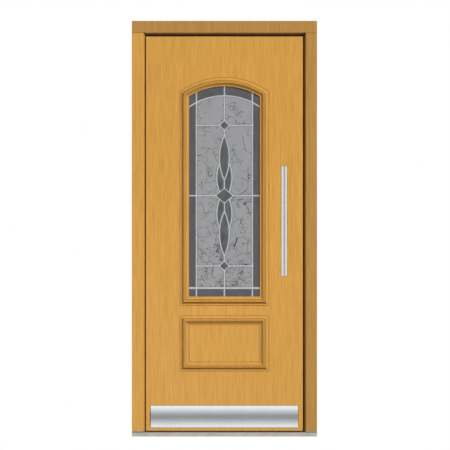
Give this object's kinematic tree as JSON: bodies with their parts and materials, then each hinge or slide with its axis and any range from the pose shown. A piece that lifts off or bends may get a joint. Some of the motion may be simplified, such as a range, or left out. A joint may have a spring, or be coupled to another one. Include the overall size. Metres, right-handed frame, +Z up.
{
  "type": "panelled front door with frame",
  "caption": "Oak front door in its frame: inward-opening leaf with an arched leaded light, a lower panel, a long pull bar, a kick plate, hinges and a mortise lock with an inside lever.",
  "frame": {"origin": "middle of the threshold's underside", "axes": "+Z up, -Y to the outside, +X to the lock side as seen from outside (hinges on -X)"},
  "size_m": [0.98, 0.212, 2.2],
  "materials": {
    "oak": "clear satin lacquer over fine straight grain",
    "core_wood": "sealed laminated wood",
    "fibre_board": "raw wood fibre board",
    "threshold_grey": "fine matt",
    "anodised": "satin anodised",
    "seal_rubber": "matt",
    "came_metal": "dull tinned",
    "field_glass": "pale antique glass with fine cracks",
    "border_glass": "smoke grey rolled glass",
    "ornament_glass": "bevelled grey glass",
    "clear_glass": "clear float glass",
    "satin_stainless": "satin brushed",
    "fittings_steel": "satin"
  },
  "bodies": {
    "frame": {"hinge_jamb": "oak", "lock_jamb": "oak", "frame_head": "oak", "threshold_base": "threshold_grey", "threshold_tread": "anodised", "hinge_jamb_foot": "anodised", "lock_jamb_foot": "anodised", "frame_seal": "seal_rubber", "strike_plate": "fittings_steel", "low_hinge_frame_wing": "fittings_steel", "mid_hinge_frame_wing": "fittings_steel", "high_hinge_frame_wing": "fittings_steel", "low_hinge_pin": "fittings_steel", "mid_hinge_pin": "fittings_steel", "high_hinge_pin": "fittings_steel"},
    "leaf": {"outer_skin": "oak", "inner_skin": "oak", "hinge_stile": "core_wood", "lock_stile": "core_wood", "top_rail": "core_wood", "mid_rail": "core_wood", "bottom_rail": "core_wood", "panel_core": "fibre_board", "light_moulding_arch": "oak", "light_moulding_left": "oak", "light_moulding_right": "oak", "light_moulding_bottom": "oak", "panel_moulding_top": "oak", "panel_moulding_bottom": "oak", "panel_moulding_left": "oak", "panel_moulding_right": "oak", "inside_panel_moulding": "oak", "bead_arch": "oak", "bead_left": "oak", "bead_right": "oak", "bead_bottom": "oak", "came_net": "came_metal", "field_glass": "field_glass", "border_glass": "border_glass", "ornament_glass": "ornament_glass", "inner_pane": "clear_glass", "glass_spacer": "anodised", "kick_plate": "satin_stainless", "pull_bar": "satin_stainless", "lower_post": "satin_stainless", "upper_post": "satin_stainless", "low_hinge_leaf_wing": "fittings_steel", "mid_hinge_leaf_wing": "fittings_steel", "high_hinge_leaf_wing": "fittings_steel", "bottom_sweep": "seal_rubber", "lock_faceplate": "fittings_steel", "lock_case": "fittings_steel", "key_cylinder": "fittings_steel", "inside_long_plate": "fittings_steel"},
    "lever": {"lever_handle": "fittings_steel", "lever_spindle": "fittings_steel"},
    "latch": {"latch_bolt": "fittings_steel"},
    "deadbolt": {"deadbolt": "fittings_steel"},
    "turn": {"turn_knob": "fittings_steel"}
  },
  "joints": [
    {"name": "leaf_swing", "type": "hinge", "parent": "frame", "child": "leaf", "pos_m": [-0.436, 0.051, 1.0855], "axis": [0, 0, 1], "range_deg": [0, 100]},
    {"name": "lever_turn", "type": "hinge", "parent": "leaf", "child": "lever", "pos_m": [0.374, 0.014, 1.05], "axis": [0, -1, 0], "range_deg": [0, 38], "stiffness_Nm_per_rad": 2, "springref_deg": -14.32},
    {"name": "latch_slide", "type": "slide", "parent": "leaf", "child": "latch", "axis": [1, 0, 0], "range_m": [0, 0.014]},
    {"name": "knob_turn", "type": "hinge", "parent": "leaf", "child": "turn", "pos_m": [0.374, 0.048, 0.958], "axis": [0, -1, 0], "range_deg": [0, 360]},
    {"name": "deadbolt_slide", "type": "slide", "parent": "leaf", "child": "deadbolt", "axis": [1, 0, 0], "range_m": [0, 0.02]}
  ],
  "couplings": [
    {"joint": "deadbolt_slide", "follows": "knob_turn", "m_per_rad": 0.0031831}
  ]
}
